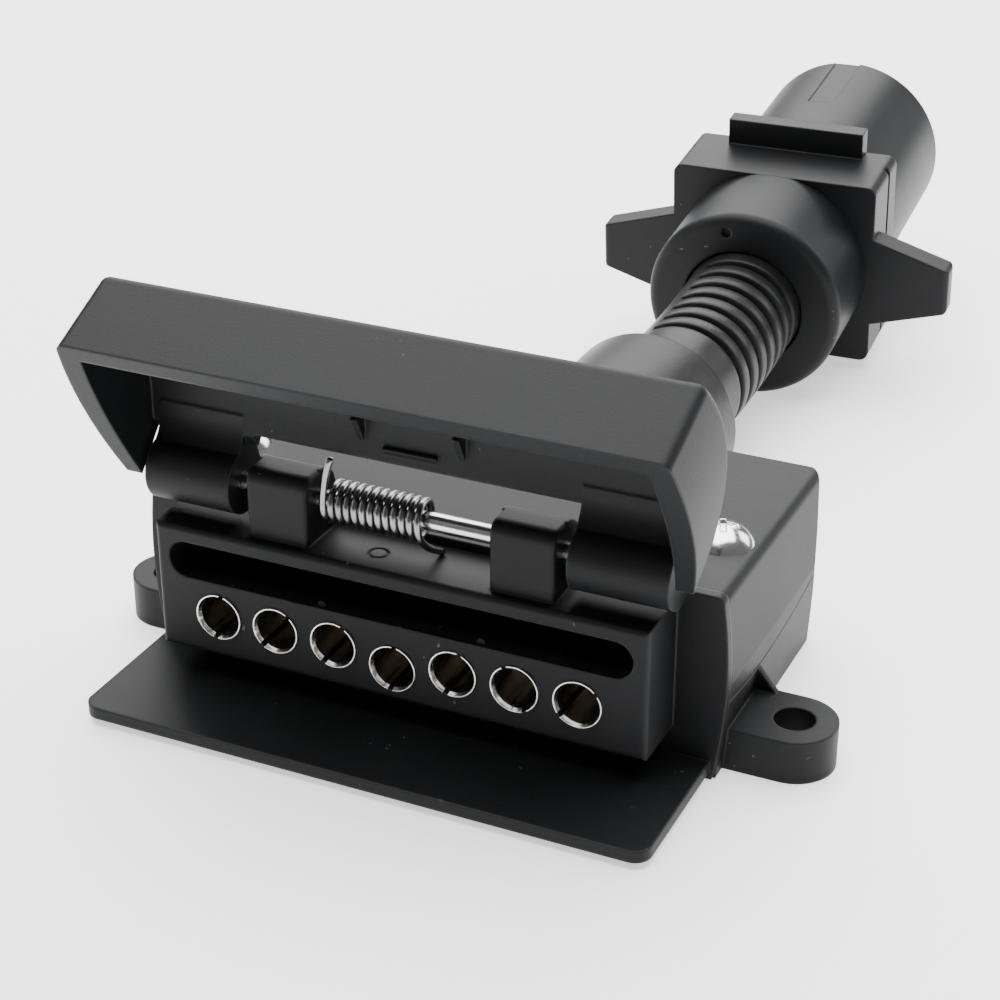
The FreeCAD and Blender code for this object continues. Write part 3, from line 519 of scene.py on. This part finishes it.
def boot_profile(look):
    """Half profile of the whole boot as rows of (along, radius, how far a slot cuts in).

    The outside runs from the housing wall to the gland cap, starting and ending at the bore's radius."""
    wall = -(PIVOT[1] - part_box("rear_cover")[1].y) + 0.1 * MM
    corners = [(wall, look.bore_radius, 0.0), (wall, NECK_R - 0.5 * MM, 0.5 * MM),
               (wall + 0.6 * MM, NECK_R, 0.4 * MM), (wall + NECK_END, NECK_R, 1.1 * MM),
               (wall + SHOULDER, NECK_R - 1.6 * MM, 1.2 * MM),
               (wall + SLEEVE_START, look.sleeve_radius, 1.2 * MM),
               (-SLEEVE_STRAIGHT, look.sleeve_radius, 0.0)]
    front = round_corners(corners)
    rows = [(a, r, 0.0) for a, r in front]
    pitch = 2 * SLOT_SPAN / look.slots
    lip = SLOT_LIP
    for k in range(look.slots):
        middle = -SLOT_SPAN + (k + 0.5) * pitch + SLOT_SHIFT
        a, b = middle - look.slot_width / 2, middle + look.slot_width / 2
        rows += [(a - lip, look.sleeve_radius, 0.0), (a - 0.4 * lip, look.sleeve_radius, 0.03),
                 (a, look.sleeve_radius, 0.1), (a, look.sleeve_radius, 0.5),
                 (a + 0.12 * MM, look.sleeve_radius, 0.97), (middle, look.sleeve_radius, 1.0),
                 (b - 0.12 * MM, look.sleeve_radius, 0.97), (b, look.sleeve_radius, 0.5),
                 (b, look.sleeve_radius, 0.1), (b + 0.4 * lip, look.sleeve_radius, 0.03),
                 (b + lip, look.sleeve_radius, 0.0)]
    rows += [(SLOT_SPAN + 0.3 * MM, look.sleeve_radius, 0.0),
             (CAP_ENTRY, look.sleeve_radius, 0.0),
             (CAP_ENTRY + 0.6 * MM, look.sleeve_radius + 0.1 * MM, 0.0),
             (BOOT_TAIL, look.sleeve_radius + 0.2 * MM, 0.0), (BOOT_TAIL, look.bore_radius, 0.0)]
    return np.array(rows)


def boot_half(name, rows, look, finish):
    """One half of the boot: a closed loop of rows turned about the bent centre line.

    radius = profile - slot depth * cut * (1 - spine), where spine is 1 near the two
    opposite angles that stay solid."""
    angles = np.linspace(0.0, 2 * math.pi, 120, endpoint=False)
    spread = np.abs(np.sin(angles - look.spine_turn)) * look.sleeve_radius
    open_side = smoothstep(*SPINE_EDGE, spread)
    radii = rows[:, 1:2] - look.slot_depth * rows[:, 2:3] * open_side[None, :]
    centres, ways = bent_centre(rows[:, 0], BEND_REACH)
    grid = around_line(centres, ways, radii, angles)
    mesh = grid_mesh(name, [grid], wrap_rows=True, sharp=50.0)
    return add_piece(name, mesh, finish)


def close_bore(rows, radius, steps=14):
    """Rows back along the bore, so that the half is a closed tube."""
    back = np.linspace(rows[-1, 0], rows[0, 0], steps)
    bore = np.stack([back, np.full(steps, radius), np.zeros(steps)], axis=1)
    return np.concatenate([rows, bore])


class ADAPTER_OT_boot(Operator):
    """Slotted rubber boot, as two halves that meet at the bend pivot"""
    bl_idname = "adapter.boot"
    bl_label = "Rubber Boot"

    def execute(self, context):
        look = context.scene.adapter_boot
        finish = boot_rubber("Boot Rubber", look)
        rows = boot_profile(look)
        seam = np.array([[0.0, look.sleeve_radius, 1.0]])
        front = np.concatenate([rows[rows[:, 0] < -1e-6], seam])
        rear = np.concatenate([seam, rows[rows[:, 0] > 1e-6]])
        first = boot_half("boot_socket_half", close_bore(front, look.bore_radius), look, finish)
        second = boot_half("boot_plug_half", close_bore(rear, look.bore_radius), look, finish)
        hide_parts("boot_neck", "boot_flex")
        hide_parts("boot_end")
        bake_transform(first)
        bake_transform(second)
        return {"FINISHED"}


def spring_path(look):
    """Right leg on the nose, close-wound coil about the pin, left leg up the lid.

    The coil is (x, R sin(t), R cos(t)) about the hinge with x falling evenly as t grows."""
    turn = 2 * math.pi * look.turns
    t = np.linspace(0.0, turn, int(30 * look.turns))
    x = COIL_RIGHT + (COIL_LEFT - COIL_RIGHT) * t / turn
    y = look.coil_radius * np.sin(t + COIL_START)
    z = look.coil_radius * np.cos(t + COIL_START)
    coil = np.stack([x, y, z], axis=1) + HINGE
    leg_end = HINGE + np.array(NOSE_LEG)
    way_in = coil[0] - coil[1]
    s = np.linspace(0.0, 1.0, 14)[:-1, None]
    control = coil[0] + 2.4 * MM * way_in / np.linalg.norm(way_in)
    right = (1 - s) ** 2 * leg_end + 2 * s * (1 - s) * control + s ** 2 * coil[0]
    way_out = coil[-1] - coil[-2]
    s = np.linspace(0.0, 1.0, 10)[1:, None]
    lean = np.array([LID_LEG_LEAN, 0.0, 0.0])
    left = coil[-1] + s * LID_LEG * way_out / np.linalg.norm(way_out) + s ** 2 * lean
    return np.concatenate([right, coil, left])


class ADAPTER_OT_spring(Operator):
    """Torsion spring about the lid hinge, as one wire in a fixed pose"""
    bl_idname = "adapter.spring"
    bl_label = "Lid Spring"

    def execute(self, context):
        look = context.scene.adapter_spring
        metal = context.scene.adapter_metal
        finish = drawn_steel("Spring Wire", metal.spring_colour, 0.16, (1.0, 0.3, 0.3), 0.05)
        mesh = grid_mesh("lid_spring_wire", [tube_grid(spring_path(look), look.wire_radius, 14)],
                         sharp=60.0)
        spring = add_piece("lid_spring_wire", mesh, finish)
        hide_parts("lid_spring", "spring_arm")
        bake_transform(spring)
        return {"FINISHED"}


def screw_grid(x, y, top, bottom, look):
    """Domed screw about a vertical axis, as rings from its crown to the end of its shank.

    height = sqrt(R^2 - r^2) - R + head height, where R is the dome's ball radius, less
    recess depth * cross. cross is 1 where the smaller of |u| and |v| is under the arm
    half width and the larger is under the arm's reach, and falls off smoothly."""
    head, rise = look.head_radius, look.head_height
    ball = (head ** 2 + rise ** 2) / (2 * rise)
    reach = look.recess_reach
    radii = np.concatenate([np.linspace(0.0, 1.3 * reach, 44),
                            np.linspace(1.3 * reach, head, 22)[1:]])
    angles = np.linspace(0.0, 2 * math.pi, 120, endpoint=False)
    u, v = radii[:, None] * np.cos(angles), radii[:, None] * np.sin(angles)
    thin, wide = np.minimum(abs(u), abs(v)), np.maximum(abs(u), abs(v))
    half, soft = look.recess_width / 2, 0.09 * MM
    cross = ((1 - smoothstep(half - soft, half + soft, thin))
             * (1 - smoothstep(reach - 3 * soft, reach + soft, wide)))
    crown = np.sqrt(ball ** 2 - radii ** 2)[:, None] - ball + rise
    z = top - rise + crown - look.recess_depth * cross * (1.2 - 0.5 * wide / reach)
    turn = look.recess_turn
    shank = np.array([(look.shank_radius, top - rise), (look.shank_radius, bottom), (0.0, bottom)])
    lower = np.stack([x + shank[:, :1] * np.cos(angles), y + shank[:, :1] * np.sin(angles),
                      shank[:, 1:] + 0 * angles], axis=-1)
    dome = np.stack([x + u * math.cos(turn) - v * math.sin(turn),
                     y + u * math.sin(turn) + v * math.cos(turn), z], axis=-1)
    return np.concatenate([dome, lower])


class ADAPTER_OT_screws(Operator):
    """Two plated dome screws that hold the rear cover"""
    bl_idname = "adapter.screws"
    bl_label = "Cover Screws"

    def execute(self, context):
        look = context.scene.adapter_screw
        low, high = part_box("cover_screws")
        middle = (low.y + high.y) / 2
        grids = [screw_grid(x, middle, high.z, low.z, look)
                 for x in (low.x + look.head_radius, high.x - look.head_radius)]
        mesh = grid_mesh("cover_dome_screws", grids, sharp=40.0)
        finish = drawn_steel("Cover Screw Plate", (0.80, 0.80, 0.80), 0.09, (1, 1, 1), 0.05)
        screws = add_piece("cover_dome_screws", mesh, finish)
        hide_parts("cover_screws")
        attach(screws, "socket")
        return {"FINISHED"}


def dress(node, finish):
    """Give every material slot of a CAD node one finish."""
    mesh = NODES[node].data
    mesh.materials.clear()
    mesh.materials.append(finish)


class ADAPTER_OT_plastics(Operator):
    """Finishes of the moulded shells"""
    bl_idname = "adapter.plastics"
    bl_label = "Moulded Plastics"

    def execute(self, context):
        look = context.scene.adapter_plastic
        dress("socket_housing", moulded_plastic("Housing Nylon", look))
        dress("rear_cover", moulded_plastic("Cover Nylon", look))
        dress("lid", moulded_plastic("Lid Nylon", look))
        dress("gland_cap", moulded_plastic("Cap Nylon", look, gloss=0.04, grain=0.6))
        dress("plug_body", moulded_plastic("Plug Nylon", look, gloss=0.08, grain=0.5))
        dress("plug_insert", moulded_plastic("Insert Nylon", look, gloss=0.05, grain=0.5))
        dress("contact_retainer", moulded_plastic("Retainer Nylon", look, grain=0.6))
        dress("cable_clamp", moulded_plastic("Clamp Nylon", look, grain=0.6))
        return {"FINISHED"}


class ADAPTER_OT_metals(Operator):
    """Finishes of contacts, pins and screws"""
    bl_idname = "adapter.metals"
    bl_label = "Metals"

    def execute(self, context):
        metal = context.scene.adapter_metal
        steel = metal.steel_colour
        for way in range(1, 8):
            mouth = MOUNTS["contact_%d" % way]["pos_m"]
            dress("contact_%d" % way, plated_contact("Contact %d Plating" % way, metal, mouth))
            dress("plug_pin_%d" % way,
                  drawn_steel("Plug Pin %d Brass" % way, (0.72, 0.55, 0.27), 0.16, (1.0, 0.1, 1.0)))
        dress("hinge_pin", drawn_steel("Hinge Pin Steel", steel, 0.13, (0.05, 1.0, 1.0)))
        zinc = drawn_steel("Zinc Steel", (0.62, 0.63, 0.64), 0.26, (1, 1, 1))
        dress("clamp_screws", zinc)
        dress("insert_screw", zinc)
        brass = drawn_steel("Terminal Brass", (0.66, 0.50, 0.26), 0.24, (1, 1, 1))
        dress("contact_screws", brass)
        return {"FINISHED"}


class ADAPTER_OT_wires(Operator):
    """Finishes of the seven insulated wires"""
    bl_idname = "adapter.wires"
    bl_label = "Wires"

    def execute(self, context):
        colours = {m["slot"]: m["base_color"][:3] for m in frame["record"]["materials"]}
        slots = {s["node"]: s["material_slot"] for s in frame["record"]["subparts"]}
        for way in range(1, 8):
            slot = slots["wire_%d" % way]
            cover = wire_cover("Wire %d Cover" % way, colours[slot])
            dress("wire_%d" % way, cover)
            dress("plug_wire_%d" % way, cover)
        return {"FINISHED"}


def softbox(name, place, target, width, height, power, colour=(1.0, 1.0, 1.0)):
    """Rectangular area light at a place, facing a target."""
    light = bpy.data.lights.new(name, "AREA")
    light.shape = "RECTANGLE"
    light.size, light.size_y = width, height
    light.energy = power
    light.color = colour
    lamp = bpy.data.objects.new(name, light)
    lamp.location = place
    lamp.rotation_euler = (Vector(target) - Vector(place)).to_track_quat("-Z", "Y").to_euler()
    bpy.context.scene.collection.objects.link(lamp)


class ADAPTER_OT_stage(Operator):
    """Pale floor, soft light and the camera"""
    bl_idname = "adapter.stage"
    bl_label = "Stage"

    def execute(self, context):
        look = context.scene.adapter_stage
        low = CAD_BOX[0][2]
        mesh = bpy.data.meshes.new("floor")
        size = FLOOR_HALF
        corners = [(-size, -size, low), (size, -size, low), (size, size, low), (-size, size, low)]
        mesh.from_pydata(corners, [], [(0, 1, 2, 3)])
        floor = bpy.data.objects.new("floor", mesh)
        context.scene.collection.objects.link(floor)
        f = Finish("Floor Paper")
        fibre = f.noise(f.place(), 0.02, 3.0)
        pale = tuple(look.floor_colour) + (1.0,)
        mesh.materials.append(f.set(Base_Color=f.blend(fibre * 0.1, pale, grey(0.92)),
                                    Roughness=0.7, Emission_Color=pale,
                                    Emission_Strength=look.floor_glow))

        world = bpy.data.worlds.new("Studio")
        world.use_nodes = True
        background = world.node_tree.nodes["Background"]
        background.inputs["Color"].default_value = (1.0, 1.0, 1.0, 1.0)
        background.inputs["Strength"].default_value = look.ambient
        context.scene.world = world

        aim = (0.0, 0.04, 0.02)
        softbox("overhead", (-0.10, 0.15, 0.85), aim, 1.1, 1.1, look.key_power)
        softbox("left_fill", (-0.75, -0.35, 0.45), aim, 0.8, 0.6, look.key_power * 0.05)
        softbox("back_right", (0.60, 0.75, 0.50), aim, 0.5, 0.5, look.key_power * 0.15)
        softbox("back_left", (-0.50, 1.25, 0.80), aim, 1.5, 0.8, look.key_power * 0.85)

        data = bpy.data.cameras.new("camera")
        data.sensor_width = 36.0
        data.lens = look.focal_length
        data.clip_start, data.clip_end = 0.01, 20.0
        camera = bpy.data.objects.new("camera", data)
        camera.location = Vector(CAMERA_PLACE) * MM
        camera.rotation_euler = Vector(CAMERA_WAY).to_track_quat("-Z", "Y").to_euler()
        context.scene.collection.objects.link(camera)
        context.scene.camera = camera
        return {"FINISHED"}


class ADAPTER_PT_panel(Panel):
    """Buttons and settings for the adapter"""
    bl_idname = "ADAPTER_PT_panel"
    bl_label = "Trailer Wiring Adapter"
    bl_space_type = "VIEW_3D"
    bl_region_type = "UI"
    bl_category = "Adapter"

    def draw(self, context):
        column = self.layout.column(align=True)
        for operator in OPERATORS:
            column.operator(operator.bl_idname)
        for group in SETTINGS:
            settings = getattr(context.scene, group)
            box = self.layout.box()
            for key in settings.__annotations__:
                box.prop(settings, key)


OPERATORS = (ADAPTER_OT_stage, ADAPTER_OT_boot, ADAPTER_OT_spring, ADAPTER_OT_screws,
             ADAPTER_OT_plastics, ADAPTER_OT_metals, ADAPTER_OT_wires)
SETTINGS = {
    "adapter_plastic": PlasticSettings, "adapter_metal": MetalSettings,
    "adapter_boot": BootSettings, "adapter_spring": SpringSettings,
    "adapter_screw": ScrewSettings, "adapter_stage": StageSettings,
}


def register():
    for group in SETTINGS.values():
        bpy.utils.register_class(group)
    for operator in OPERATORS:
        bpy.utils.register_class(operator)
    bpy.utils.register_class(ADAPTER_PT_panel)
    for name, group in SETTINGS.items():
        setattr(bpy.types.Scene, name, PointerProperty(type=group))


def unregister():
    for name in SETTINGS:
        delattr(bpy.types.Scene, name)
    bpy.utils.unregister_class(ADAPTER_PT_panel)
    for operator in reversed(OPERATORS):
        bpy.utils.unregister_class(operator)
    for group in reversed(tuple(SETTINGS.values())):
        bpy.utils.unregister_class(group)


def main():
    register()
    bpy.ops.adapter.stage()
    bpy.ops.adapter.boot()
    bpy.ops.adapter.spring()
    bpy.ops.adapter.screws()
    bpy.ops.adapter.plastics()
    bpy.ops.adapter.metals()
    bpy.ops.adapter.wires()


if __name__ == "__main__":
    main()
